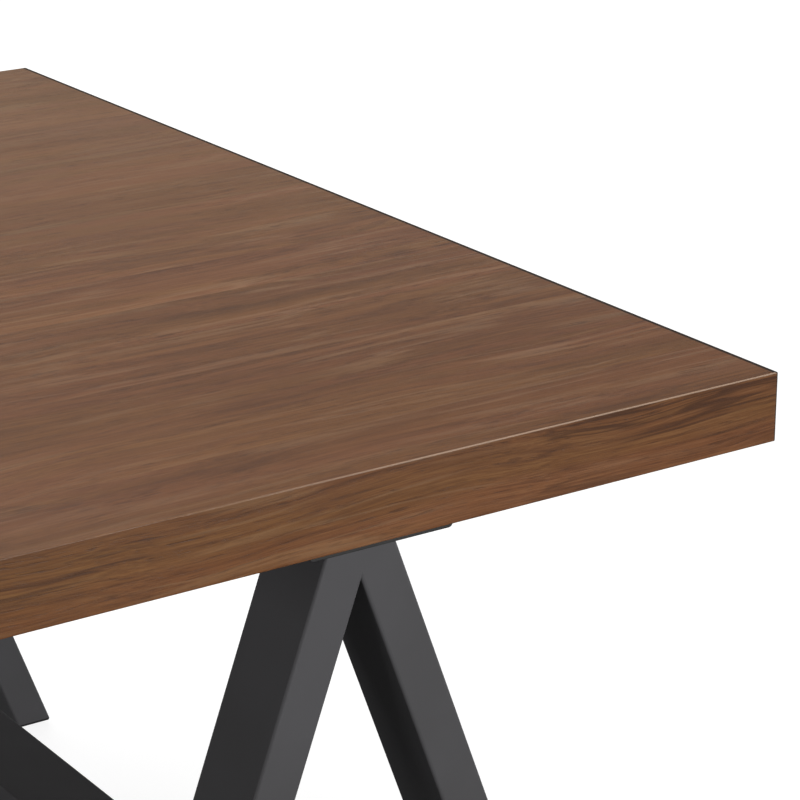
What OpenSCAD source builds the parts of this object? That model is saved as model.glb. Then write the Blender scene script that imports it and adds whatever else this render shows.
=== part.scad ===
// Butcher block table. A top of edge-glued walnut staves, with the grain running
// across the table, lies on a lipped steel rail with six side arms. The rail is
// bolted to two A-shaped end frames of rectangular tube, which a low stretcher
// joins. The table stands on four levelling glides, one under each leg.
// The origin is on the floor under the middle of the top. X runs along the table,
// towards its front end, Y across it to the right, and Z is up. Sizes are in mm.

/* [Top] */
// Length of the top, along X
top_l = 1325; // [1290:5:1360]
// Width of the top, along Y and along the grain
top_w = 710; // [690:2:740]
// Thickness of the top
top_t = 60; // [52:1:64]
// Height of the top surface above the floor
table_h = 762; // [750:1:774]
// Number of staves glued edge to edge
stave_n = 15; // [13, 15, 17]
// Bevel that breaks the top's outer edges
arris = 1.2; // [0.6:0.2:2]

/* [End frames] */
// Width of a leg tube, in the plane of the A
tube_w = 40; // [36:1:44]
// Depth of a leg tube, along the table
tube_d = 80; // [70:2:90]
// Wall thickness of every tube
wall = 2.5; // [2:0.5:3]
// Corner radius of every tube
tube_r = 3; // [2.6:0.2:4]
// Lean of each leg away from the vertical, in degrees
splay = 20; // [18:0.5:21]
// Distance from the end of the top to the outer face of an end frame
end_inset = 77; // [70:1:90]
// Depth under the top surface at which the legs' outer edges would meet
apex_drop = 9; // [6:1:12]
// Height of the top of the crossbars and the stretcher
bar_top = 221; // [180:1:260]

/* [Top rail] */
// Width of the rail under the top
rail_w = 133; // [120:1:150]
// Height of the rail
rail_h = 26; // [24:1:30]
// Sheet thickness of the rail and the side arms
sheet_t = 3; // [2.5:0.5:3]
// Outer bend radius of the rail
rail_r = 4; // [3.5:0.5:6]
// Distance from the end of the top to the end of the rail
rail_inset = 48; // [40:1:60]
// Reach of each side arm beyond the rail
arm_reach = 224; // [200:2:240]

/* [Levelling glides] */
// Gap between the floor and a leg's foot, with the glide screwed right in
foot_gap = 6; // [6:0.5:8]
// Radius of a glide's pad
pad_r = 16; // [14:0.5:18]

/* [Hidden] */
$fn = 48;
reach_in = 0.1;       // how far a cut runs past the face it opens
fit_gap = 0.05;       // radial clearance of a running fit
loose_gap = 0.3;      // clearance between pieces that only face each other
hole_gap = 0.5;       // radial clearance of a bolt in its hole
bend_ease = 0.5;      // how much fuller an inner bend is than one of even thickness

// Top
stave_w = top_l / stave_n;
stave_step = 0.1;     // the glue lines lie on whole multiples of this
under_z = table_h - top_t;
insert_seat = 1;      // how much deeper a screw hole is than its insert

// End frames
apex_z = table_h - apex_drop;
slant_w = tube_w / cos(splay);
slant_wall = wall / cos(splay);
frame_x = top_l / 2 - end_inset - tube_d / 2;
inner_x = frame_x - tube_d / 2;
rail_z = under_z - rail_h;
bar_z = bar_top - tube_w;
bar_over = 60;        // how far a leg's tube runs past the floor and the top before it is cut

// Feet and glides
cap_t = 4;            // thickness of a foot cap's rim
leg_z = foot_gap + cap_t;
plug_top = 40;        // how high a cap's plug reaches inside the leg
hex_z = foot_gap;
hex_h = 5;
hex_af = 14;
recess_r = 9.5;       // pocket in the cap that takes the stem's hexagon
bush_z = hex_z + hex_h + 0.5;
bush_top = 28;
bush_r = 8;
stem_r = 5;
stem_top = 38;
spigot_r = 4;
pad_h = foot_gap - loose_gap;
pad_floor = 1.5;      // thickness of the pad under the stem's spigot
pad_edge = 1;         // bevel round the pad's sole
pad_slope = 3;        // how far the pad's top slopes in

// Rail, arms and their fasteners
rail_l = top_l - 2 * rail_inset;
cap_plate = 3;        // thickness of a rail end cap
lip_w = 22;
arm_w = 60;
arm_root = 22;        // height of an arm's side flanges at the rail
arm_tip = 10;         // and at the arm's outer end
arm_step = 5;         // the outer arms sit this many staves from the middle
arm_screw_y = [rail_w / 2 + 50, rail_w / 2 + arm_reach - 30]; // the two screws of an arm
slot_w = 7;
slot_travel = 10;     // lets the top swell and shrink across the grain
screw_r = 3;
washer_r = 9;
washer_t = 1.6;
insert_r = 4.5;
insert_h = 15;
screw_in = 13;        // how far a screw enters its insert

// Head and stretcher bolts, size M8
bolt_r = 4;
bolt_l = 20;
bolt_flange_r = 8.5;
bolt_flange_h = 1.6;
bolt_hex_af = 13;
bolt_hex_h = 5.4;
bolt_pitch = 44;      // spacing of the two bolts in a head
head_t = 6;
flange_t = 5;
flange_w = 136;
flange_h = tube_w - 4;
flange_r = 5;
flange_bolt_y = 54;
rivet_r = 5.5;
rivet_h = 15;

ends = [["front", 1], ["rear", -1]];
sides = [["left", -1], ["right", 1]];
stations = [["front", 1], ["middle", 0], ["rear", -1]];

function stave_edge(i) = round((i / stave_n - 0.5) * top_l / stave_step) * stave_step;
function stave_name(i) = str("stave_", i < 10 ? "0" : "", i);
function outer_y(z) = (apex_z - z) * tan(splay);
function inner_y(z) = outer_y(z) - slant_w;
function foot_y() = outer_y(foot_gap) - slant_w / 2;
function screw_points() = [for (s = stations, side = sides, y = arm_screw_y)
    [s[1] * arm_step * stave_w, side[1] * y]];

// ---- outlines ----

module round_rect(w, h, r) {
    square([w - 2 * r, h], center = true);
    square([w, h - 2 * r], center = true);
    for (x = [-1, 1], y = [-1, 1])
        translate([x * (w / 2 - r), y * (h / 2 - r)]) circle(r);
}

module tube_outline(w, h) {
    difference() {
        round_rect(w, h, tube_r);
        round_rect(w - 2 * wall, h - 2 * wall, tube_r - wall + bend_ease);
    }
}

module chamfered_rect(w, h, c) {
    polygon([
        [-w / 2 + c, -h / 2], [w / 2 - c, -h / 2], [w / 2, -h / 2 + c], [w / 2, h / 2 - c],
        [w / 2 - c, h / 2], [-w / 2 + c, h / 2], [-w / 2, h / 2 - c], [-w / 2, -h / 2 + c]]);
}

// A rectangle on the line y = 0, with its two lower corners rounded
module tray_outline(w, h, r) {
    translate([-w / 2, r]) square([w, h - r]);
    translate([-w / 2 + r, 0]) square([w - 2 * r, h]);
    for (x = [-1, 1]) translate([x * (w / 2 - r), r]) circle(r);
}

// Stands an outline drawn in Y and Z upright, and extrudes it along X about its middle
module along_x(length) {
    rotate([90, 0, 90]) linear_extrude(length, center = true) children();
}

// ---- top ----

module top_blank() {
    translate([0, 0, under_z + top_t / 2]) intersection() {
        linear_extrude(top_t, center = true) chamfered_rect(top_l, top_w, arris);
        along_x(top_l) chamfered_rect(top_w, top_t, arris);
        rotate([90, 0, 0]) linear_extrude(top_w, center = true)
            chamfered_rect(top_l, top_t, arris);
    }
}

module stave(i) {
    color("#7a5a45") difference() {
        intersection() {
            top_blank();
            translate([stave_edge(i - 1), -top_w, under_z - top_t])
                cube([stave_edge(i) - stave_edge(i - 1), 2 * top_w, 3 * top_t]);
        }
        for (p = screw_points()) translate([p[0], p[1], under_z - reach_in])
            cylinder(h = insert_h + insert_seat + reach_in, r = insert_r + fit_gap);
    }
}

// ---- end frames, drawn at the middle of the table ----

// Draws the outline as a bar that leans with the right-hand leg
module leaning_bar() {
    translate([0, outer_y(0) - slant_w / 2, 0]) rotate([splay, 0, 0])
        translate([0, 0, -bar_over]) linear_extrude(table_h + 2 * bar_over) children();
}

module leg(side) {
    color("#4b4a4c") mirror([0, side < 0 ? 1 : 0, 0]) intersection() {
        leaning_bar() tube_outline(tube_d, tube_w);
        translate([-tube_d, 0, leg_z]) cube([2 * tube_d, top_w, rail_z - leg_z]);
    }
}

module crossbar() {
    color("#4b4a4c") difference() {
        intersection() {
            translate([0, 0, bar_z + tube_w / 2]) rotate([90, 0, 0])
                linear_extrude(top_w, center = true) tube_outline(tube_d, tube_w);
            along_x(2 * tube_d) polygon([
                [-inner_y(bar_z), bar_z], [inner_y(bar_z), bar_z],
                [inner_y(bar_top), bar_top], [-inner_y(bar_top), bar_top]]);
        }
        for (y = [-1, 1]) translate([-tube_d, y * flange_bolt_y, bar_z + tube_w / 2])
            rotate([0, 90, 0]) cylinder(h = tube_d, r = rivet_r + fit_gap);
    }
}

module head_plate() {
    low_z = rail_z - head_t;
    top_y = outer_y(rail_z) - slant_wall - loose_gap;
    low_y = outer_y(low_z) - slant_wall - loose_gap;
    color("#4b4a4c") difference() {
        along_x(tube_d - 2 * wall - 2 * loose_gap)
            polygon([[-low_y, low_z], [low_y, low_z], [top_y, rail_z], [-top_y, rail_z]]);
        for (x = [-1, 1]) translate([x * bolt_pitch / 2, 0, low_z - reach_in])
            cylinder(h = head_t + 2 * reach_in, r = bolt_r + fit_gap);
    }
}

// ---- rail and side arms ----

module top_rail() {
    color("#434244") difference() {
        translate([0, 0, rail_z]) along_x(rail_l - 2 * cap_plate) difference() {
            tray_outline(rail_w, rail_h, rail_r);
            translate([0, sheet_t])
                tray_outline(rail_w - 2 * sheet_t, rail_h - 2 * sheet_t,
                    rail_r - sheet_t + bend_ease);
            translate([-rail_w / 2 + lip_w, rail_h - sheet_t - reach_in])
                square([rail_w - 2 * lip_w, sheet_t + 2 * reach_in]);
        }
        for (e = ends, x = [-1, 1])
            translate([e[1] * frame_x + x * bolt_pitch / 2, 0, rail_z - reach_in])
                cylinder(h = sheet_t + 2 * reach_in, r = bolt_r + hole_gap);
    }
}

module rail_cap(end) {
    plug_l = 12;
    plug_gap = 0.2;
    color("#2c2b2d") mirror([end < 0 ? 1 : 0, 0, 0]) {
        translate([rail_l / 2 - cap_plate / 2, 0, rail_z]) along_x(cap_plate)
            tray_outline(rail_w, rail_h, rail_r);
        translate([rail_l / 2 - cap_plate - plug_l / 2, 0, rail_z + sheet_t + plug_gap])
            along_x(plug_l) tray_outline(rail_w - 2 * (sheet_t + plug_gap),
                rail_h - 2 * (sheet_t + plug_gap), rail_r - sheet_t + bend_ease);
    }
}

module arm(station, side) {
    x = station * arm_step * stave_w;
    y0 = rail_w / 2;
    y1 = rail_w / 2 + arm_reach;
    color("#434244") translate([x, 0, 0]) mirror([0, side < 0 ? 1 : 0, 0]) difference() {
        union() {
            translate([-arm_w / 2, y0, under_z - sheet_t]) cube([arm_w, arm_reach, sheet_t]);
            for (s = [-1, 1]) translate([s * (arm_w - sheet_t) / 2, 0, 0]) along_x(sheet_t)
                polygon([[y0, under_z], [y0, under_z - arm_root], [y1, under_z - arm_tip],
                    [y1, under_z]]);
        }
        for (y = arm_screw_y) translate([0, y, under_z - sheet_t - reach_in])
            linear_extrude(sheet_t + 2 * reach_in) {
                square([slot_travel, slot_w], center = true);
                for (s = [-1, 1]) translate([s * slot_travel / 2, 0]) circle(slot_w / 2);
            }
    }
}

// ---- stretcher ----

module stretcher() {
    color("#3a393b") translate([0, 0, bar_z + tube_w / 2])
        rotate([0, 90, 0]) linear_extrude(2 * (inner_x - flange_t), center = true)
            tube_outline(tube_w, tube_d);
}

module stretcher_flange(end) {
    color("#3a393b") translate([end * (inner_x - flange_t / 2), 0, bar_z + tube_w / 2])
        difference() {
            along_x(flange_t) round_rect(flange_w, flange_h, flange_r);
            for (y = [-1, 1]) translate([-flange_t, y * flange_bolt_y, 0])
                rotate([0, 90, 0]) cylinder(h = 2 * flange_t, r = bolt_r + hole_gap);
        }
}

// ---- feet and glides, drawn under the right-hand leg at the middle of the table ----

module at_foot(end, side) {
    translate([end * frame_x, 0, 0]) mirror([0, side < 0 ? 1 : 0, 0]) children();
}

module on_glide_axis() {
    translate([0, foot_y(), 0]) children();
}

module foot_cap(end, side) {
    plug_gap = 0.15;
    plug_root = 1;
    color("#1f1f21") at_foot(end, side) difference() {
        union() {
            intersection() {
                leaning_bar() round_rect(tube_d, tube_w, tube_r);
                translate([-tube_d, 0, foot_gap]) cube([2 * tube_d, top_w, cap_t]);
            }
            intersection() {
                leaning_bar() round_rect(tube_d - 2 * (wall + plug_gap),
                    tube_w - 2 * (wall + plug_gap), tube_r - wall + bend_ease);
                translate([-tube_d, 0, leg_z - plug_root])
                    cube([2 * tube_d, top_w, plug_top - leg_z + plug_root]);
            }
        }
        on_glide_axis() {
            translate([0, 0, foot_gap - reach_in])
                cylinder(h = bush_z - foot_gap + 2 * reach_in, r = recess_r);
            translate([0, 0, bush_z]) cylinder(h = bush_top - bush_z, r = bush_r + fit_gap);
            translate([0, 0, bush_top - reach_in])
                cylinder(h = plug_top - bush_top + 2 * reach_in, r = stem_r + hole_gap);
        }
    }
}

module foot_bush(end, side) {
    color("#b8a878") at_foot(end, side) on_glide_axis() difference() {
        translate([0, 0, bush_z]) cylinder(h = bush_top - bush_z, r = bush_r);
        translate([0, 0, bush_z - reach_in])
            cylinder(h = bush_top - bush_z + 2 * reach_in, r = stem_r + fit_gap);
    }
}

module glide_stem(end, side) {
    tip = 1;
    color("#c4c4c8") at_foot(end, side) on_glide_axis() {
        translate([0, 0, pad_floor + loose_gap])
            cylinder(h = hex_z - pad_floor - loose_gap, r = spigot_r);
        translate([0, 0, hex_z]) cylinder(h = hex_h, r = hex_af / 2 / cos(30), $fn = 6);
        translate([0, 0, hex_z + hex_h])
            cylinder(h = stem_top - tip - hex_z - hex_h, r = stem_r);
        translate([0, 0, stem_top - tip]) cylinder(h = tip, r1 = stem_r, r2 = stem_r - tip);
    }
}

module glide_pad(end, side) {
    bore_r = spigot_r + fit_gap;
    color("#1c1c1e") at_foot(end, side) on_glide_axis() rotate_extrude() polygon([
        [0, 0], [pad_r - pad_edge, 0], [pad_r, pad_edge], [pad_r, pad_h / 2 + loose_gap],
        [pad_r - pad_slope, pad_h],
        [bore_r, pad_h], [bore_r, pad_floor], [0, pad_floor]]);
}

// ---- fasteners ----

// A flanged hexagon bolt of size M8, with its head above z = 0 and its shank below
module flange_bolt() {
    cylinder(h = bolt_flange_h, r = bolt_flange_r);
    translate([0, 0, bolt_flange_h])
        cylinder(h = bolt_hex_h, r = bolt_hex_af / 2 / cos(30), $fn = 6);
    translate([0, 0, -bolt_l]) cylinder(h = bolt_l, r = bolt_r);
}

module head_bolts() {
    color("#9a9a9e") for (e = ends, x = [-1, 1])
        translate([e[1] * frame_x + x * bolt_pitch / 2, 0, rail_z + sheet_t]) flange_bolt();
}

module stretcher_bolts() {
    color("#9a9a9e") for (e = ends, y = [-1, 1])
        translate([e[1] * (inner_x - flange_t), y * flange_bolt_y, bar_z + tube_w / 2])
            rotate([0, -e[1] * 90, 0]) flange_bolt();
}

module rivet_nuts() {
    color("#a8a8ac") for (e = ends, y = [-1, 1])
        translate([e[1] * (inner_x + rivet_h / 2), y * flange_bolt_y, bar_z + tube_w / 2])
            rotate([0, 90, 0]) difference() {
                cylinder(h = rivet_h, r = rivet_r, center = true);
                cylinder(h = rivet_h + 2 * reach_in, r = bolt_r + fit_gap, center = true);
            }
}

module top_screws() {
    head_r = 6.5;
    head_h = 3.6;
    head_slope = 1.5;
    socket_r = 2.3;
    socket_bottom = 1;
    color("#2a2a2c") for (p = screw_points())
        translate([p[0], p[1], under_z - sheet_t - washer_t]) difference() {
            union() {
                translate([0, 0, -head_h])
                    cylinder(h = head_h, r1 = head_r - head_slope, r2 = head_r);
                cylinder(h = sheet_t + washer_t + screw_in, r = screw_r);
            }
            translate([0, 0, -head_h - socket_bottom])
                cylinder(h = head_h, r = socket_r, $fn = 6);
        }
}

module top_washers() {
    color("#9a9a9e") for (p = screw_points())
        translate([p[0], p[1], under_z - sheet_t - washer_t]) difference() {
            cylinder(h = washer_t, r = washer_r);
            translate([0, 0, -reach_in])
                cylinder(h = washer_t + 2 * reach_in, r = screw_r + loose_gap);
        }
}

module thread_inserts() {
    color("#b8a878") for (p = screw_points()) translate([p[0], p[1], under_z]) difference() {
        cylinder(h = insert_h, r = insert_r);
        translate([0, 0, -reach_in])
            cylinder(h = insert_h + 2 * reach_in, r = screw_r + fit_gap);
    }
}

// ---- the assembly ----

for (i = [1 : stave_n])
    stave(i);

for (e = ends) translate([e[1] * frame_x, 0, 0]) {
    leg(-1);
    leg(1);
    mirror([e[1] < 0 ? 1 : 0, 0, 0]) crossbar();
    head_plate();
}

top_rail();
stretcher();
for (e = ends) {
    rail_cap(e[1]);
    stretcher_flange(e[1]);
}
for (s = stations, side = sides)
    arm(s[1], side[1]);

for (e = ends, side = sides) {
    corner = str("_", e[0], "_", side[0]);
    foot_cap(e[1], side[1]);
    foot_bush(e[1], side[1]);
    glide_stem(e[1], side[1]);
    glide_pad(e[1], side[1]);
}

head_bolts();
stretcher_bolts();
rivet_nuts();
top_screws();
top_washers();
thread_inserts();
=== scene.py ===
"""Looks of the butcher block table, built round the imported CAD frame.

Metres, Z up. X runs along the table to its front end, Y across it to the right.
Names that end in _MM, the profiles of turned pieces, and the sizes named inside foot_cap
and thread are in millimetres.
"""

import math
import random

import bmesh
import bpy
from mathutils import Matrix, Vector


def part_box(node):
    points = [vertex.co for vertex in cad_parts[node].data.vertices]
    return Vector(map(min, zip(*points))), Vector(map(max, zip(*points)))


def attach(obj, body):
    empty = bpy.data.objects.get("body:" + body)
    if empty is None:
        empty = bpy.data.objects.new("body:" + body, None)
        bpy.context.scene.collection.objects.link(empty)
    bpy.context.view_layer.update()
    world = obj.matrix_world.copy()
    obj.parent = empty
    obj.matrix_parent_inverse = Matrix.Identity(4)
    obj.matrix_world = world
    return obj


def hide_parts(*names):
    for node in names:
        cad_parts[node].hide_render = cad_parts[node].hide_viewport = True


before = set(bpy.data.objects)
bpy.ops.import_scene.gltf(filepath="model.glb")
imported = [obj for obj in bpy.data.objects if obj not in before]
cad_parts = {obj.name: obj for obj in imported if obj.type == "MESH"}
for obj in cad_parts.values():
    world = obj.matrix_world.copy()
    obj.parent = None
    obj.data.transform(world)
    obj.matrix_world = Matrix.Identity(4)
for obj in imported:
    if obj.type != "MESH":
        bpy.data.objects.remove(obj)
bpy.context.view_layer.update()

MM = 0.001
BODY = "table"
ENDS = {"front": 1, "rear": -1}
SIDES = {"left": -1, "right": 1}
CORNERS = [(end, side) for end in ENDS for side in SIDES]


def nodes_named(start):
    return sorted(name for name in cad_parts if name.startswith(start))


STAVES = nodes_named("stave_")
ARMS = nodes_named("arm_")
TOP_LOW, TOP_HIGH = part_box(STAVES[0])[0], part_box(STAVES[-1])[1]
TOP_HALF = (TOP_HIGH - TOP_LOW) / 2
STAVE_WIDTH = (TOP_HIGH.x - TOP_LOW.x) / len(STAVES)
ARRIS = 1.2 * MM

# The steel tube and sheet, and how the legs lean
TUBE_DEPTH_MM, TUBE_WIDTH_MM, TUBE_RADIUS_MM = 80.0, 40.0, 3.0
SHEET_MM = 3.0
LEAN = math.radians(20)

draw = random.Random(11)


# ---- shader building ----

class Shader:
    """A procedural material, with short calls that add and link its nodes."""

    def __init__(self, name):
        self.material = bpy.data.materials.new(name)
        self.material.use_nodes = True
        self.tree = self.material.node_tree
        self.tree.nodes.clear()
        self.surface = self.add("ShaderNodeBsdfPrincipled")
        output = self.add("ShaderNodeOutputMaterial")
        self.tree.links.new(self.surface.outputs["BSDF"], output.inputs["Surface"])

    def add(self, kind, **settings):
        node = self.tree.nodes.new(kind)
        for key, value in settings.items():
            setattr(node, key, value)
        return node

    def put(self, socket, value):
        """Links an output to a socket, or sets the socket to a constant."""
        if isinstance(value, bpy.types.NodeSocket):
            self.tree.links.new(value, socket)
        elif socket.type == "RGBA" and len(value) == 3:
            socket.default_value = (*value, 1.0)
        else:
            socket.default_value = value

    def set(self, **values):
        for key, value in values.items():
            self.put(self.surface.inputs[key.replace("_", " ")], value)

    def place(self):
        return self.add("ShaderNodeTexCoord").outputs["Object"]

    def attribute(self, name):
        return self.add("ShaderNodeAttribute", attribute_name=name).outputs["Fac"]

    def face_normal(self):
        return self.split(self.add("ShaderNodeNewGeometry").outputs["True Normal"])

    def math(self, operation, a, b=0.0, c=0.0):
        node = self.add("ShaderNodeMath", operation=operation)
        for socket, value in zip(node.inputs, (a, b, c)):
            self.put(socket, value)
        return node.outputs[0]

    def times(self, a, b):
        return self.math("MULTIPLY", a, b)

    def absolute(self, value):
        return self.math("ABSOLUTE", value)

    def opposite(self, value):
        """1 minus the value."""
        return self.math("SUBTRACT", 1.0, value)

    def weighed(self, *pairs):
        """The sum of values, each times its weight."""
        total = self.times(*pairs[0])
        for value, weight in pairs[1:]:
            total = self.math("MULTIPLY_ADD", value, weight, total)
        return total

    def vector(self, operation, a, b=(0.0, 0.0, 0.0)):
        node = self.add("ShaderNodeVectorMath", operation=operation)
        self.put(node.inputs[0], a)
        self.put(node.inputs[1], b)
        return node.outputs["Value" if operation == "LENGTH" else "Vector"]

    def join(self, x, y, z):
        node = self.add("ShaderNodeCombineXYZ")
        for socket, value in zip(node.inputs, (x, y, z)):
            self.put(socket, value)
        return node.outputs[0]

    def split(self, vector):
        node = self.add("ShaderNodeSeparateXYZ")
        self.put(node.inputs[0], vector)
        return node.outputs

    def noise(self, vector, scale=1.0, detail=2.0, roughness=0.5, colour=False):
        node = self.add("ShaderNodeTexNoise")
        self.put(node.inputs["Vector"], vector)
        node.inputs["Scale"].default_value = scale
        node.inputs["Detail"].default_value = detail
        node.inputs["Roughness"].default_value = roughness
        return node.outputs["Color" if colour else "Fac"]

    def grain(self, xyz, scales, **settings):
        """Noise with one scale in X and Z and another in Y, the way of the fibres."""
        across, along = scales
        return self.noise(self.join(self.times(xyz[0], across), self.times(xyz[1], along),
                                    self.times(xyz[2], across)), **settings)

    def lines(self, along, detail, roughness):
        """Noise in one dimension."""
        node = self.add("ShaderNodeTexNoise", noise_dimensions="1D")
        self.put(node.inputs["W"], along)
        node.inputs["Scale"].default_value = 1.0
        node.inputs["Detail"].default_value = detail
        node.inputs["Roughness"].default_value = roughness
        return node.outputs["Fac"]

    def between(self, value, low, high, to_low=0.0, to_high=1.0):
        node = self.add("ShaderNodeMapRange", interpolation_type="SMOOTHSTEP")
        for key, number in zip(("Value", "From Min", "From Max", "To Min", "To Max"),
                               (value, low, high, to_low, to_high)):
            self.put(node.inputs[key], number)
        return node.outputs["Result"]

    def contour(self, value, width):
        """1 where the value crosses a half, falling to 0 the given width away."""
        return self.between(self.absolute(self.math("SUBTRACT", value, 0.5)), 0.0, width, 1.0, 0.0)

    def ramp(self, value, stops):
        node = self.add("ShaderNodeValToRGB")
        elements = node.color_ramp.elements
        while len(elements) < len(stops):
            elements.new(0.5)
        for element, (position, colour) in zip(elements, stops):
            element.position = position
            element.color = (*colour, 1.0)
        self.put(node.inputs["Fac"], value)
        return node.outputs["Color"]

    def blend(self, amount, a, b, mode="MIX"):
        node = self.add("ShaderNodeMix", data_type="RGBA", blend_type=mode)
        self.put(node.inputs["Factor"], amount)
        self.put(node.inputs[6], a)
        self.put(node.inputs[7], b)
        return node.outputs[2]

    def tint(self, colour, tint, amount=1.0):
        return self.blend(amount, colour, tint, "MULTIPLY")

    def bump(self, height, depth, strength, over=None):
        node = self.add("ShaderNodeBump")
        node.inputs["Strength"].default_value = strength
        node.inputs["Distance"].default_value = depth
        self.put(node.inputs["Height"], height)
        if over is not None:
            self.put(node.inputs["Normal"], over)
        return node.outputs["Normal"]


def grey(level):
    return (level, level, level)


# ---- walnut ----

# From the palest wood to the darkest
WALNUT_SHADES = [(0.0, (0.245, 0.113, 0.053)), (0.35, (0.192, 0.078, 0.032)),
                 (0.65, (0.150, 0.058, 0.023)), (1.0, (0.086, 0.031, 0.012))]
GOLDEN_TINT, RED_TINT = (0.98, 1.01, 0.87), (1.02, 0.97, 1.00)
REAR_TINT, FRONT_TINT = (0.91, 1.0, 0.87), (0.98, 0.975, 0.86)
SUNNY_TINT = (1.03, 0.99, 0.81)
THREAD_COLOUR = (0.31, 0.185, 0.115)
VEIN_COLOUR = (0.070, 0.026, 0.012)
DASH_COLOUR = (0.052, 0.019, 0.009)
PORE_COLOUR = (0.030, 0.013, 0.007)
END_GRAIN_COLOUR = (0.04, 0.02, 0.012)
# The pale colour of the highlight painted on the upper arrises
ARRIS_HIGHLIGHT_COLOUR = (0.47, 0.33, 0.24)
# The near-black colour of the shade painted along the edges round the end grain
EDGE_SHADE_COLOUR = (0.012, 0.008, 0.006)

# Where the changes along X, from the rear to the front, start and end
LIVELIER, DARKER = (-0.35, 0.35), (-0.5, 0.5)
# Where the changes across Y, from left to right, start and end; the second pair is where the
# painted arris highlight grows stronger
MORE_MARKED, STRONGER_ARRIS_HIGHLIGHT = (-0.30, 0.20), (-0.22, 0.05)

# How strongly the marks show. Threads and veins have one number for where the figure is
# calm and one for where it is lively.
THREADS_SHOW, VEINS_SHOW = (0.18, 0.40), (0.12, 0.56)
VEINS_SHOW_MORE_ON_EDGE = 0.30
DASHES_SHOW, PORES_SHOW = 0.60, 0.50

# How far a stave may lie beside its log's pith, how far above it, and how far along it
LOG_SIDE, LOG_RISE, LOG_LENGTH = (-0.15, 0.15), (0.05, 0.16), 40.0
LOG_SWAY, LOG_RIPPLE = 0.05, 0.005
RINGS_PER_METRE = 150.0
RINGS_APART = 9.1     # sets one stave's rings apart from the next one's

# Noise scales across the fibres and along them, per metre
SWAY, RIPPLE = (5.0, 2.2), (45.0, 7.0)
STREAKS, STRANDS, FIBRES = (22.0, 1.0), (430.0, 5.0), (900.0, 14.0)
HUES, AREAS, PATCHES = (30.0, 1.2), (13.0, 1.1), (24.0, 5.0)
THREADS, VEINS = (55.0, 1.8), (75.0, 2.4)
DASHES, PORES = (650.0, 34.0), (2300.0, 110.0)

# How far below the upper face the lighter band starts, and where it is full
BAND_START, BAND_FULL = 30.0 * MM, 42.0 * MM
BAND_SWAY = 30.0 * MM
# How far from the end grain the line of painted shade starts and is full, and how much nearer
# both are on the edge along the grain
EDGE_SHADE_START, EDGE_SHADE_FULL, EDGE_SHADE_NARROWING = 5.4 * MM, 4.0 * MM, 3.2 * MM


def inside_log(s, place, stave):
    """The place in the log that each stave was sawn from, and how the log sways there.

    The pith runs along Y, some way under the stave.
    """
    dice = s.add("ShaderNodeTexWhiteNoise", noise_dimensions="1D")
    s.put(dice.inputs["W"], stave)
    dice = s.split(dice.outputs["Color"])
    centre_x = s.math("MULTIPLY_ADD", stave, STAVE_WIDTH, TOP_LOW.x + STAVE_WIDTH / 2)
    x = s.math("SUBTRACT", s.math("SUBTRACT", place[0], centre_x),
               s.between(dice[0], 0.0, 1.0, *LOG_SIDE))
    y = s.math("MULTIPLY_ADD", dice[1], LOG_LENGTH, place[1])
    z = s.math("ADD", s.math("SUBTRACT", place[2], TOP_LOW.z),
               s.between(dice[2], 0.0, 1.0, *LOG_RISE))
    log = (x, y, z)

    sway = s.split(s.vector("SUBTRACT", s.grain(log, SWAY, colour=True), grey(0.5)))
    ripple = s.times(s.math("SUBTRACT", s.grain(log, RIPPLE), 0.5), LOG_RIPPLE)
    x, z = (s.math("ADD", s.math("MULTIPLY_ADD", shift, LOG_SWAY, value), ripple)
            for shift, value in ((sway[0], x), (sway[2], z)))
    return (x, y, z), sway


def figure(s, log, stave, fibres, lively, edge):
    """The wood's ground colour before any tint, and its growth rings."""
    radius = s.vector("LENGTH", s.join(log[0], 0.0, log[2]))
    rings = s.lines(s.math("MULTIPLY_ADD", radius, RINGS_PER_METRE, s.times(stave, RINGS_APART)),
                    detail=4.0, roughness=0.62)
    shade = s.weighed((s.grain(log, STREAKS), 0.29), (rings, 0.18),
                      (s.grain(log, STRANDS, roughness=0.65), 0.22), (fibres, 0.31))
    # Half the range of the shade that is spread over all the colours: the less, the bolder
    span = s.math("MULTIPLY_ADD", edge, -0.06, s.between(lively, 0.0, 1.0, 0.42, 0.21))
    shade = s.between(shade, s.math("SUBTRACT", 0.5, span), s.math("ADD", 0.5, span))
    return s.ramp(shade, WALNUT_SHADES), rings


def marks(s, log, rings):
    """Pale threads and dark veins along the grain, and the short dashes and pores in it."""
    patches = s.grain(log, PATCHES)
    threads = s.times(s.between(patches, 0.44, 0.58),
                      s.contour(s.grain(log, THREADS, detail=3.0), 0.060))
    veins = s.times(s.between(patches, 0.40, 0.54, 1.0, 0.0),
                    s.contour(s.grain(log, VEINS, detail=3.0), 0.050))
    # Dashes and pores gather in bands that follow the rings
    band = s.between(rings, 0.40, 0.62, 0.25, 1.0)
    dashes = s.times(s.between(s.grain(log, DASHES, detail=1.0), 0.56, 0.66), band)
    pores = s.times(s.between(s.grain(log, PORES, detail=1.0), 0.58, 0.72), band)
    return threads, veins, dashes, pores


def painted_arris_highlight(s, place):
    """A pale highlight painted on the upper arrises at the two long-grain ends, stronger towards
    the right.
    """
    near_end = s.between(s.absolute(place[0]), TOP_HALF.x - ARRIS, TOP_HALF.x - 0.5 * ARRIS)
    near_face = s.between(place[2], TOP_HIGH.z - ARRIS, TOP_HIGH.z - 0.5 * ARRIS)
    highlight_strength = s.between(place[1], *STRONGER_ARRIS_HIGHLIGHT, 0.15, 0.95)
    return s.times(s.times(near_end, near_face), highlight_strength)


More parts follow.
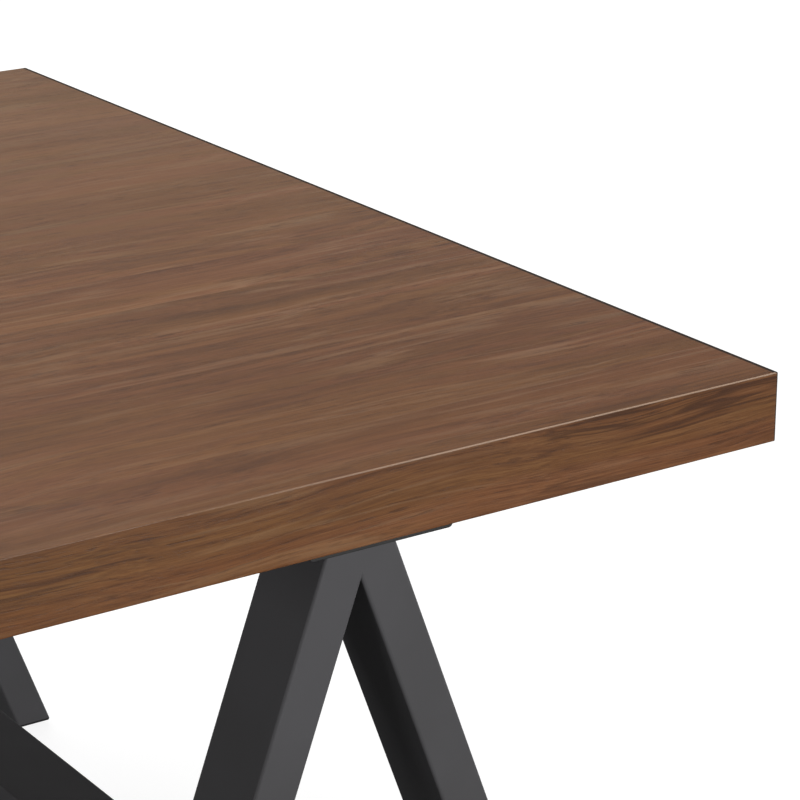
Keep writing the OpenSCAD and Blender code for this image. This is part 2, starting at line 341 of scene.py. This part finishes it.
def painted_edge_shade(s, place, normal, end_grain):
    """A near-black line of painted shade along the edges round the end grain, but not on it."""
    reach = s.math("MULTIPLY_ADD", s.absolute(normal[0]), -EDGE_SHADE_NARROWING, s.absolute(place[1]))
    near = s.between(reach, TOP_HALF.y - EDGE_SHADE_START, TOP_HALF.y - EDGE_SHADE_FULL)
    return s.times(near, s.opposite(end_grain))


def walnut():
    """Lacquered walnut with its fibres along Y. Each stave comes from its own place in a log."""
    s = Shader("walnut_lacquered")
    place = s.split(s.place())
    normal = s.face_normal()
    stave = s.attribute("stave")
    log, sway = inside_log(s, place, stave)

    # The figure is livelier towards the front end, and boldest on the edge along the grain
    lively = s.between(place[0], *LIVELIER)
    edge = s.between(s.absolute(normal[0]), 0.6, 0.9)
    fibres = s.grain(log, FIBRES, roughness=0.65)
    colour, rings = figure(s, log, stave, fibres, lively, edge)
    threads, veins, dashes, pores = marks(s, log, rings)

    # The lower part of the slab's thickness is a lighter, redder band
    depth = s.math("MULTIPLY_ADD", sway[2], BAND_SWAY, s.math("SUBTRACT", TOP_HIGH.z, place[2]))
    lower = s.between(depth, BAND_START, BAND_FULL)
    hue = s.math("MULTIPLY_ADD", lower, 0.06, s.grain(log, HUES, detail=4.0, roughness=0.6))
    colour = s.blend(s.between(hue, 0.36, 0.62), s.tint(colour, GOLDEN_TINT),
                     s.tint(colour, RED_TINT))

    # Threads and veins fade towards the left, except on the edge, where the veins above
    # the lower band are the strongest
    shown = s.math("MAXIMUM", edge, s.between(place[1], *MORE_MARKED, 0.6, 1.0))
    threaded = s.times(shown, s.between(lively, 0.0, 1.0, *THREADS_SHOW))
    colour = s.blend(s.times(threads, threaded), colour, THREAD_COLOUR)
    veined = s.times(shown, s.between(lively, 0.0, 1.0, *VEINS_SHOW))
    veined = s.math("MULTIPLY_ADD", s.times(edge, s.opposite(lower)), VEINS_SHOW_MORE_ON_EDGE,
                    veined)
    colour = s.blend(s.times(veins, veined), colour, VEIN_COLOUR)
    colour = s.blend(s.times(dashes, DASHES_SHOW), colour, DASH_COLOUR)
    colour = s.blend(s.times(pores, PORES_SHOW), colour, PORE_COLOUR)

    # Lightness differs from stave to stave, in the lower band and in broad areas
    tone = s.times(s.attribute("tone"), s.between(lower, 0.0, 1.0, 0.97, 1.07))
    tone = s.times(tone, s.between(s.grain(log, AREAS), 0.34, 0.66, 1.04, 0.96))
    colour = s.vector("MULTIPLY", colour, s.join(tone, tone, tone))

    # The rear staves are paler and greyer than the front ones
    colour = s.tint(colour, s.blend(s.between(place[0], *DARKER), REAR_TINT, FRONT_TINT))
    # The edge along the grain is more golden towards its left end
    colour = s.tint(colour, SUNNY_TINT,
                    s.times(edge, s.between(place[1], *MORE_MARKED, 1.0, 0.0)))

    # End grain, on the two faces across Y, drinks more oil and looks darker
    end_grain = s.between(s.absolute(normal[1]), 0.6, 0.98)
    specks = s.between(s.noise(s.place(), scale=1500.0), 0.45, 0.7)
    colour = s.blend(s.times(end_grain, 0.55), colour, s.blend(specks, colour, END_GRAIN_COLOUR))
    # A pale highlight is painted along the upper arrises at the long-grain ends
    colour = s.blend(painted_arris_highlight(s, place), colour, ARRIS_HIGHLIGHT_COLOUR)
    # A near-black line of painted shade runs along the edges round the end grain
    edge_shade_line = painted_edge_shade(s, place, normal, end_grain)
    colour = s.blend(s.times(edge_shade_line, 0.92), colour, EDGE_SHADE_COLOUR)

    wear = s.between(s.noise(s.place(), scale=7.0, detail=3.0), 0.3, 0.7, 0.30, 0.33)
    roughness = s.math("MULTIPLY_ADD", fibres, 0.10, wear)
    relief = s.weighed((s.math("ADD", dashes, pores), -0.5), (fibres, 0.35))
    s.set(Base_Color=colour,
          Roughness=s.math("MULTIPLY_ADD", edge_shade_line, 0.45, roughness),
          IOR=1.5, Specular_IOR_Level=0.32,
          Normal=s.bump(relief, 0.10 * MM, 0.6))
    return s.material


# ---- the other materials ----

def powder_coat():
    """Black powder coat: a fine orange peel with sparse specks."""
    s = Shader("black_powder_coat")
    dark, light, speck = (0.08740, 0.08556, 0.08924), (0.09752, 0.09568, 0.10120), grey(0.1748)
    place = s.place()
    cloud = s.noise(place, scale=9.0, detail=3.0)
    peel = s.noise(place, scale=620.0, roughness=0.55)
    grit = s.noise(place, scale=2600.0, detail=1.0)
    colour = s.blend(s.between(cloud, 0.3, 0.7), dark, light)
    s.set(Base_Color=s.blend(s.times(s.between(grit, 0.66, 0.78), 0.25), colour, speck),
          Roughness=s.math("MULTIPLY_ADD", peel, 0.12, 0.44),
          IOR=1.5, Specular_IOR_Level=0.18,
          Normal=s.bump(peel, 0.06 * MM, 0.6, over=s.bump(grit, 0.02 * MM, 0.5)))
    return s.material


def moulded(name, level, roughness, grain):
    """Moulded plastic or rubber with an eroded mould texture."""
    s = Shader(name)
    place = s.place()
    cloud = s.noise(place, scale=30.0, detail=3.0)
    texture = s.noise(place, scale=grain)
    s.set(Base_Color=s.blend(s.between(cloud, 0.3, 0.7), grey(level * 0.85), grey(level * 1.2)),
          Roughness=s.math("MULTIPLY_ADD", texture, 0.2, roughness - 0.1),
          IOR=1.46,
          Normal=s.bump(texture, 0.04 * MM, 0.6))
    return s.material


def metal(name, colour, roughness, dull):
    """Plated or oxidised metal with fine turning marks and slight blotches."""
    s = Shader(name)
    place = s.place()
    blotch = s.noise(place, scale=240.0, detail=3.0)
    marks = s.noise(s.vector("MULTIPLY", place, (300.0, 300.0, 4000.0)))
    dulled = tuple(channel * dull for channel in colour)
    s.set(Base_Color=s.blend(s.between(blotch, 0.35, 0.68), dulled, colour),
          Metallic=1.0,
          Roughness=s.math("MULTIPLY_ADD", blotch, 0.25, roughness - 0.10),
          Normal=s.bump(marks, 0.01 * MM, 0.5))
    return s.material


LOOKS = {
    "walnut": walnut(),
    "black_powder_coat": powder_coat(),
    "black_plastic": moulded("black_plastic", level=0.022, roughness=0.5, grain=1500.0),
    "glide_rubber": moulded("glide_rubber", level=0.016, roughness=0.68, grain=900.0),
    "zinc_steel": metal("zinc_steel", (0.62, 0.64, 0.66), roughness=0.32, dull=0.82),
    "black_oxide_steel": metal("black_oxide_steel", (0.075, 0.075, 0.08),
                               roughness=0.38, dull=0.7),
    "brass": metal("brass", (0.78, 0.58, 0.28), roughness=0.30, dull=0.85),
}
SLOT_OF = {name: obj.data.materials[0].name for name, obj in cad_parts.items()}


def dress(obj, slot):
    """Gives an object a slot's material, on every face."""
    obj.data.materials.clear()
    obj.data.materials.append(LOOKS[slot])


# ---- meshes ----

def piece(name, mesh_data, slot, body=BODY, replaces=(), smooth_angle=35):
    """Turns a bmesh into a named piece of the object."""
    mesh = bpy.data.meshes.new(name)
    bmesh.ops.recalc_face_normals(mesh_data, faces=mesh_data.faces)
    mesh_data.to_mesh(mesh)
    mesh_data.free()
    obj = bpy.data.objects.new(name, mesh)
    bpy.context.scene.collection.objects.link(obj)
    mesh.shade_smooth()
    mesh.set_sharp_from_angle(angle=math.radians(smooth_angle))
    normals = obj.modifiers.new("normals", "WEIGHTED_NORMAL")
    normals.keep_sharp = True
    dress(obj, slot)
    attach(obj, body)
    if replaces:
        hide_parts(*replaces)
    return obj


def loft(mesh, loops, closed=False):
    """Skins a list of loops that have equal counts of points, and caps or joins the ends."""
    made = [[mesh.verts.new(point) for point in loop] for loop in loops]
    pairs = list(zip(made, made[1:])) + ([(made[-1], made[0])] if closed else [])
    for one, two in pairs:
        for i in range(len(one)):
            j = (i + 1) % len(one)
            mesh.faces.new((one[i], one[j], two[j], two[i]))
    if not closed:
        mesh.faces.new(made[0])
        mesh.faces.new(made[-1])


def ring_point(radius, angle, height=0.0):
    """A point at a radius and height in mm about Z."""
    return Vector((radius * math.cos(angle), radius * math.sin(angle), height)) * MM


def turned(mesh, profile, place, count=48, closed=False):
    """Skins a profile of (height, radius) in mm about Z.

    A third number cuts the ring to a hexagon of that width across its flats.
    """
    loops = []
    for height, radius, *flats in profile:
        loop = []
        for i in range(count):
            angle = 2 * math.pi * i / count
            reach = radius
            if flats:
                across = math.cos(angle % (math.pi / 3) - math.pi / 6)
                reach = min(radius, flats[0] / 2 / across)
            loop.append(place @ ring_point(reach, angle, height))
        loops.append(loop)
    loft(mesh, loops, closed)


def softened(node, width_mm, slot, segments=2):
    """A copy of a CAD node with its sharp edges rounded over."""
    mesh = bmesh.new()
    mesh.from_mesh(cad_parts[node].data)
    bmesh.ops.remove_doubles(mesh, verts=mesh.verts, dist=0.001 * MM)
    bmesh.ops.dissolve_limit(mesh, angle_limit=math.radians(1), verts=mesh.verts, edges=mesh.edges)
    sharp = [e for e in mesh.edges
             if len(e.link_faces) == 2 and e.calc_face_angle(0) > math.radians(40)]
    bmesh.ops.bevel(mesh, geom=sharp, offset=width_mm * MM, segments=segments, profile=0.5,
                    affect="EDGES", clamp_overlap=True)
    piece(f"soft_{node}", mesh, slot, replaces=[node])


def bead(mesh, path, radius_mm, closed=True):
    """Lays a rippled weld bead along a path of points in metres."""
    step, sides, ripple_period, tip_size = 1.3 * MM, 8, 3, 0.4
    points = [Vector(p) for p in path] + ([Vector(path[0])] if closed else [])
    dense = []
    for a, b in zip(points, points[1:]):
        count = max(1, round((b - a).length / step))
        dense += [a.lerp(b, i / count) for i in range(count)]
    if not closed:
        dense.append(points[-1])
    last = len(dense) - 1
    loops = []
    for i, point in enumerate(dense):
        before = dense[i - 1] if closed or i else point
        after = dense[(i + 1) % len(dense)] if closed or i < last else point
        turn = (after - before).to_track_quat("Z", "X")
        ripple = 0.88 + 0.12 * math.cos(i * 2 * math.pi / ripple_period)
        size = radius_mm * ripple * draw.uniform(0.95, 1.05)
        if not closed and i in (0, last):
            size *= tip_size
        loops.append([point + turn @ ring_point(size, 2 * math.pi * k / sides)
                      for k in range(sides)])
    loft(mesh, loops, closed)


def round_rect(half_a, half_b, radius, count=12):
    """Points in mm round a rectangle with rounded corners, a quarter at a time."""
    points = []
    for quarter, (sa, sb) in enumerate(((1, 1), (-1, 1), (-1, -1), (1, -1))):
        for i in range(count):
            angle = math.pi / 2 * (quarter + i / (count - 1))
            points.append((sa * (half_a - radius) + radius * math.cos(angle),
                           sb * (half_b - radius) + radius * math.sin(angle)))
    return points


def circle(radius, count=12):
    """Points in mm round a circle, in step with round_rect's."""
    return [(radius * math.cos(t), radius * math.sin(t))
            for t in (math.pi / 2 * (q + (i + 0.5) / count)
                      for q in range(4) for i in range(count))]


# ---- the top ----

def stave_piece(index, node, tone):
    """One stave, with its arrises rounded where they are outer edges of the top."""
    low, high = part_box(node)
    mesh = bmesh.new()
    bmesh.ops.create_cube(mesh, size=1.0)
    for v in mesh.verts:
        v.co = (low + high) / 2 + Vector(c * s for c, s in zip(v.co, high - low))
    tiny = 0.01 * MM
    outer_x = [x for x in (TOP_LOW.x, TOP_HIGH.x)
               if abs(low.x - x) < tiny or abs(high.x - x) < tiny]

    def on_outside(edge):
        a, b = (v.co for v in edge.verts)
        on_end = all(abs(abs(p.y) - TOP_HIGH.y) < tiny for p in (a, b))
        on_side = any(abs(a.x - x) < tiny and abs(b.x - x) < tiny for x in outer_x)
        along_x = abs(a.x - b.x) > tiny
        return along_x and on_end or on_side

    bmesh.ops.bevel(mesh, geom=[e for e in mesh.edges if on_outside(e)], offset=ARRIS,
                    segments=4, profile=0.5, affect="EDGES")
    obj = piece(f"wood_{node}", mesh, "walnut", replaces=[node])
    for name, value in (("stave", float(index)), ("tone", tone)):
        layer = obj.data.attributes.new(name, "FLOAT", "POINT")
        layer.data.foreach_set("value", [value] * len(obj.data.vertices))


for index, node in enumerate(STAVES):
    stave_piece(index, node, draw.uniform(0.94, 1.05))


# ---- steelwork ----

def soften_steelwork():
    for end in ENDS:
        softened(f"rail_cap_{end}", 0.8, "black_plastic", segments=3)
    for end in ENDS:
        softened(f"stretcher_flange_{end}", 0.7, "black_powder_coat", segments=3)
        softened(f"{end}_head_plate", 0.5, "black_powder_coat")
    for node in ARMS:
        softened(node, 0.35, "black_powder_coat")


def tube_outline():
    return round_rect(TUBE_DEPTH_MM / 2, TUBE_WIDTH_MM / 2, TUBE_RADIUS_MM, 4)


def weld_piece(name, mesh):
    piece(name, mesh, "black_powder_coat", smooth_angle=60)


def crossbar_welds():
    """Round both ends of each crossbar, where it meets the slanted legs."""
    for end in ENDS:
        low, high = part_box(f"{end}_crossbar")
        middle_x, middle_z = (low.x + high.x) / 2, (low.z + high.z) / 2
        mesh = bmesh.new()
        for side in SIDES.values():
            bead(mesh, [(middle_x + x * MM,
                         side * (high.y - (z + TUBE_WIDTH_MM / 2) * math.tan(LEAN) * MM),
                         middle_z + z * MM) for x, z in tube_outline()], 2.0)
        weld_piece(f"weld_{end}_crossbar", mesh)


def stretcher_welds():
    """Round both ends of the stretcher, on its flanges."""
    low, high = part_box("stretcher")
    middle_z = (low.z + high.z) / 2
    mesh = bmesh.new()
    for x in (low.x, high.x):
        bead(mesh, [(x, y * MM, middle_z + z * MM) for y, z in tube_outline()], 2.2)
    weld_piece("weld_stretcher", mesh)


def arm_welds():
    """Up both sides of each arm, where it meets the rail."""
    end_gap = 1.5 * MM
    mesh = bmesh.new()
    for node in ARMS:
        low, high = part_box(node)
        root = low.y if low.y > 0 else high.y
        for x in (low.x, high.x):
            bead(mesh, [(x, root, low.z + end_gap), (x, root, high.z - end_gap)], 1.8,
                 closed=False)
    weld_piece("weld_arms", mesh)


soften_steelwork()
crossbar_welds()
stretcher_welds()
arm_welds()


# ---- feet and glides ----

def foot_cap(end, side):
    """A plastic cap with a rounded rim, a pocket for the glide's hexagon, and a grooved plug."""
    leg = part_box(f"{end}_leg_{side}")
    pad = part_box(f"glide_pad_{end}_{side}")
    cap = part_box(f"foot_cap_{end}_{side}")
    middle_x = (leg[0].x + leg[1].x) / 2 / MM
    pad_y = (pad[0].y + pad[1].y) / 2 / MM
    cap_bottom, rim_top, plug_top = cap[0].z / MM, leg[0].z / MM, cap[1].z / MM
    pocket_top, bush_top = 11.5, 28.0
    mouth_radius, pocket_radius, bush_radius, stem_hole = 10.3, 9.5, 8.05, 5.5
    plug_inset, groove_inset, tip_inset = 2.7, 3.4, 3.6
    grooves, groove_pitch = 3, 6.0

    def outline(z, inset):
        """Round a slanted leg's level section, drawn in by the inset."""
        shift = (cap_bottom - z) * math.tan(LEAN) * SIDES[side]
        radius = max(TUBE_RADIUS_MM - inset, 0.4)
        return [Vector((middle_x + x, pad_y + shift + y / math.cos(LEAN), z)) * MM
                for x, y in round_rect(TUBE_DEPTH_MM / 2 - inset, TUBE_WIDTH_MM / 2 - inset,
                                       radius)]

    def hole(z, radius):
        return [Vector((middle_x + x, pad_y + y, z)) * MM for x, y in circle(radius)]

    rim = rim_top - cap_bottom
    loops = [outline(rim_top - rim * math.sin(t), rim * (1 - math.cos(t)) * 0.9)
             for t in (math.pi / 2 * i / 6 for i in range(7))]
    loops += [hole(cap_bottom, mouth_radius), hole(cap_bottom + 0.8, pocket_radius),
              hole(pocket_top, pocket_radius), hole(pocket_top, bush_radius),
              hole(bush_top, bush_radius), hole(bush_top, stem_hole), hole(plug_top, stem_hole),
              outline(plug_top, tip_inset), outline(plug_top - 1.0, plug_inset)]
    for groove in range(grooves):
        z = plug_top - groove_pitch * (groove + 1)
        loops += [outline(z + 1.2, plug_inset), outline(z + 1.0, groove_inset),
                  outline(z - 1.0, groove_inset), outline(z - 1.2, plug_inset)]
    loops += [outline(rim_top, plug_inset)]
    mesh = bmesh.new()
    loft(mesh, loops, closed=True)
    piece(f"cap_{end}_{side}", mesh, "black_plastic", replaces=[f"foot_cap_{end}_{side}"])


# From the floor of the spigot's socket, up over the pad's top and down to the two grooves
# in its sole
PAD = [(1.5, 1.0), (1.5, 4.05), (5.4, 4.05), (5.7, 4.5), (5.7, 7.9), (5.35, 8.2),
       (5.35, 10.6), (5.7, 10.9), (5.7, 12.6), (5.5, 13.1), (3.6, 15.4), (3.0, 15.9),
       (2.6, 16.0), (1.5, 16.0), (0.6, 15.6), (0.1, 15.0), (0.0, 14.5), (0.0, 11.8),
       (0.5, 11.5), (0.5, 10.3), (0.0, 10.0), (0.0, 7.6), (0.5, 7.3), (0.5, 6.1),
       (0.0, 5.8), (0.0, 1.0)]
SPIGOT_AND_HEXAGON = [(1.8, 3.4), (2.3, 4.0), (5.8, 4.0), (6.0, 6.6, 14.0), (6.4, 7.4, 14.0),
                      (6.9, 8.2, 14.0), (10.1, 8.2, 14.0), (10.6, 7.4, 14.0),
                      (11.0, 6.6, 14.0), (11.0, 4.1), (12.0, 4.05), (12.2, 4.0)]


def thread(mesh, at):
    """The stem's screw thread, as closely spaced rings whose ridge winds round."""
    low, high, pitch = 11.6, 37.6, 1.5
    core, crest = 4.08, 4.96
    rings_per_turn, count = 8, 36
    flank_slope, root_flat = 2.6, 0.25
    loops = []
    for i in range(int((high - low) / pitch * rings_per_turn) + 1):
        z = low + i * pitch / rings_per_turn
        fade = min(1.0, (high - z) / 1.0 + 0.15, (z - low) / 0.6 + 0.1)
        loop = []
        for k in range(count):
            phase = (z / pitch - k / count) % 1.0
            flank = (0.5 - abs(phase - 0.5)) * flank_slope - root_flat
            reach = core + (crest - core) * min(max(flank, 0.0), 1.0) * fade
            loop.append(at @ ring_point(reach, 2 * math.pi * k / count, z))
        loops.append(loop)
    loft(mesh, loops)


def glide(end, side):
    """The pad with its grooved sole, and the stem with its hexagon and thread."""
    low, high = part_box(f"glide_pad_{end}_{side}")
    at = Matrix.Translation(((low.x + high.x) / 2, (low.y + high.y) / 2, 0.0))
    mesh = bmesh.new()
    turned(mesh, PAD, at)
    piece(f"pad_{end}_{side}", mesh, "glide_rubber", body=f"pad_{end}_{side}",
          replaces=[f"glide_pad_{end}_{side}"])

    mesh = bmesh.new()
    turned(mesh, SPIGOT_AND_HEXAGON, at, count=72)
    thread(mesh, at)
    piece(f"stem_{end}_{side}", mesh, "zinc_steel", body=f"stem_{end}_{side}",
          replaces=[f"glide_stem_{end}_{side}"], smooth_angle=40)


for end, side in CORNERS:
    foot_cap(end, side)
    glide(end, side)


# ---- fasteners ----

FLANGE_BOLT = [(-20.0, 3.2), (-19.2, 4.0), (0.0, 4.0), (0.0, 8.2), (0.3, 8.5), (1.0, 8.5),
               (1.6, 8.0), (1.9, 7.2, 13.0), (2.1, 7.6, 13.0), (6.2, 7.6, 13.0),
               (6.7, 7.0, 13.0), (7.0, 6.3), (7.0, 4.6), (6.6, 4.2)]
# The screw's socket is sunk 2.6 mm into its round head
TOP_SCREW = [(17.6, 2.2), (16.8, 3.0), (0.0, 3.0), (0.0, 6.3), (-0.3, 6.5), (-1.0, 6.45),
             (-2.8, 5.9), (-3.4, 5.3), (-3.6, 4.8), (-3.6, 2.7), (-3.3, 2.4, 4.0),
             (-1.0, 2.4, 4.0)]
WASHER_MM = 1.6
WASHER = [(0.0, 3.3), (0.0, 8.7), (0.3, 9.0), (1.3, 9.0), (WASHER_MM, 8.7), (WASHER_MM, 3.3)]
HEAD_BOLT_X_MM = 22.0
FLANGE_BOLT_Y_MM = 54.0
SCREW_FROM_ROOT_MM, SCREW_FROM_TIP_MM = 50.0, 30.0


def fasteners(node, slot, profile, places, closed=False):
    """One piece for a CAD node that holds several of the same fastener."""
    mesh = bmesh.new()
    for place in places:
        turned(mesh, profile, place, closed=closed)
    piece(f"made_{node}", mesh, slot, replaces=[node], smooth_angle=30)


def head_bolt_places():
    """On the rail's floor, with their heads up."""
    floor_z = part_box("top_rail")[0].z + SHEET_MM * MM
    places = []
    for end in ENDS:
        low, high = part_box(f"{end}_leg_left")
        places += [Matrix.Translation(((low.x + high.x) / 2 + x * MM, 0.0, floor_z))
                   for x in (-HEAD_BOLT_X_MM, HEAD_BOLT_X_MM)]
    return places


def stretcher_bolt_places():
    """On the inner face of each flange, with their heads towards the table's middle."""
    places = []
    for end, sign in ENDS.items():
        low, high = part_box(f"stretcher_flange_{end}")
        inner_x = low.x if sign > 0 else high.x
        places += [Matrix.Translation((inner_x, y * MM, (low.z + high.z) / 2))
                   @ Matrix.Rotation(-sign * math.pi / 2, 4, "Y")
                   for y in (-FLANGE_BOLT_Y_MM, FLANGE_BOLT_Y_MM)]
    return places


def top_screw_places():
    """Under each arm's sheet, on the washers' lower faces, with their heads down."""
    places = []
    for node in ARMS:
        low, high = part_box(node)
        outward = 1 if low.y > 0 else -1
        root, tip = (low.y, high.y) if outward > 0 else (high.y, low.y)
        washer_z = high.z - (SHEET_MM + WASHER_MM) * MM
        for y in (root + outward * SCREW_FROM_ROOT_MM * MM, tip - outward * SCREW_FROM_TIP_MM * MM):
            places.append(Matrix.Translation(((low.x + high.x) / 2, y, washer_z)))
    return places


fasteners("head_bolts", "zinc_steel", FLANGE_BOLT, head_bolt_places())
fasteners("stretcher_bolts", "zinc_steel", FLANGE_BOLT, stretcher_bolt_places())
fasteners("top_screws", "black_oxide_steel", TOP_SCREW, top_screw_places())
fasteners("top_washers", "zinc_steel", WASHER, top_screw_places(), closed=True)

for node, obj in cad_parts.items():
    if not obj.hide_render:
        dress(obj, SLOT_OF[node])


# ---- stage ----

def stage_material(name, glow_near, glow_far, albedo):
    """A pale surface whose own glow changes with distance from the object."""
    near, far = 1.2, 4.0
    s = Shader(name)
    distance = s.vector("LENGTH", s.place())
    s.set(Base_Color=grey(albedo), Roughness=1.0, Specular_IOR_Level=0.0,
          Emission_Color=grey(1.0),
          Emission_Strength=s.between(distance, near, far, glow_near, glow_far))
    return s.material


def stage_piece(name, mesh_data, material):
    data = bpy.data.meshes.new(name)
    mesh_data.to_mesh(data)
    mesh_data.free()
    data.materials.append(material)
    obj = bpy.data.objects.new(name, data)
    bpy.context.scene.collection.objects.link(obj)
    obj.visible_diffuse = obj.visible_glossy = obj.visible_shadow = False
    return obj


def floor_and_backdrop():
    mesh = bmesh.new()
    bmesh.ops.create_circle(mesh, cap_ends=True, segments=96, radius=14.0)
    floor = stage_piece("floor", mesh,
                        stage_material("floor", glow_near=0.88, glow_far=1.02, albedo=0.24))
    floor.location.z = -0.2 * MM

    mesh = bmesh.new()
    bmesh.ops.create_icosphere(mesh, subdivisions=4, radius=16.0)
    backdrop = stage_piece("backdrop", mesh,
                           stage_material("backdrop", glow_near=1.02, glow_far=1.02, albedo=0.0))
    backdrop.visible_transmission = False


def softbox(name, watts, size, place, target):
    light = bpy.data.lights.new(name, "AREA")
    light.energy = watts
    light.shape = "RECTANGLE"
    light.size, light.size_y = size
    obj = bpy.data.objects.new(name, light)
    bpy.context.scene.collection.objects.link(obj)
    obj.location = place
    obj.rotation_euler = (Vector(target) - obj.location).to_track_quat("-Z", "Y").to_euler()
    obj.visible_camera = False


def lights():
    softbox("top_light", 130, size=(2.6, 2.6), place=(-1.15, -0.4, 3.6), target=(-0.2, 0.0, 0.7))
    softbox("front_light", 81, size=(1.8, 1.5), place=(3.8, 0.8, 0.95), target=(0.0, 0.0, 0.5))
    softbox("back_light", 7.9, size=(4.0, 1.5), place=(-4.2, 2.9, 1.6), target=(0.0, 0.0, 0.8))
    softbox("left_light", 27, size=(2.4, 1.6), place=(0.4, -3.6, 0.9), target=(0.0, 0.0, 0.4))
    # Two low ones light the sides that the main view doesn't show, below the top's surface
    softbox("rear_light", 26, size=(1.6, 0.7), place=(-3.8, -0.2, 0.38), target=(0.0, 0.0, 0.38))
    softbox("right_light", 26, size=(2.6, 0.7), place=(0.8, 3.6, 0.38), target=(0.0, 0.0, 0.38))
    world = bpy.data.worlds.new("studio")
    bpy.context.scene.world = world
    world.use_nodes = True
    background = world.node_tree.nodes["Background"]
    background.inputs["Color"].default_value = (1.0, 1.0, 1.0, 1.0)
    background.inputs["Strength"].default_value = 0.09


def camera(place, azimuth_degrees, elevation_degrees, lens_mm):
    """A camera that looks towards the table, turned and raised by the photo's angles."""
    data = bpy.data.cameras.new("camera")
    data.lens = lens_mm
    data.sensor_width = 36.0
    data.clip_end = 100.0
    obj = bpy.data.objects.new("camera", data)
    bpy.context.scene.collection.objects.link(obj)
    azimuth, elevation = math.radians(azimuth_degrees), math.radians(elevation_degrees)
    forward = Vector((-math.cos(elevation) * math.cos(azimuth),
                      math.cos(elevation) * math.sin(azimuth), -math.sin(elevation)))
    obj.location = place
    obj.rotation_euler = forward.to_track_quat("-Z", "Y").to_euler()
    bpy.context.scene.camera = obj


floor_and_backdrop()
lights()
camera((2.3327, -1.1506, 1.5257), azimuth_degrees=34.18, elevation_degrees=19.48, lens_mm=130.55)
bpy.context.scene.view_settings.view_transform = "Standard"
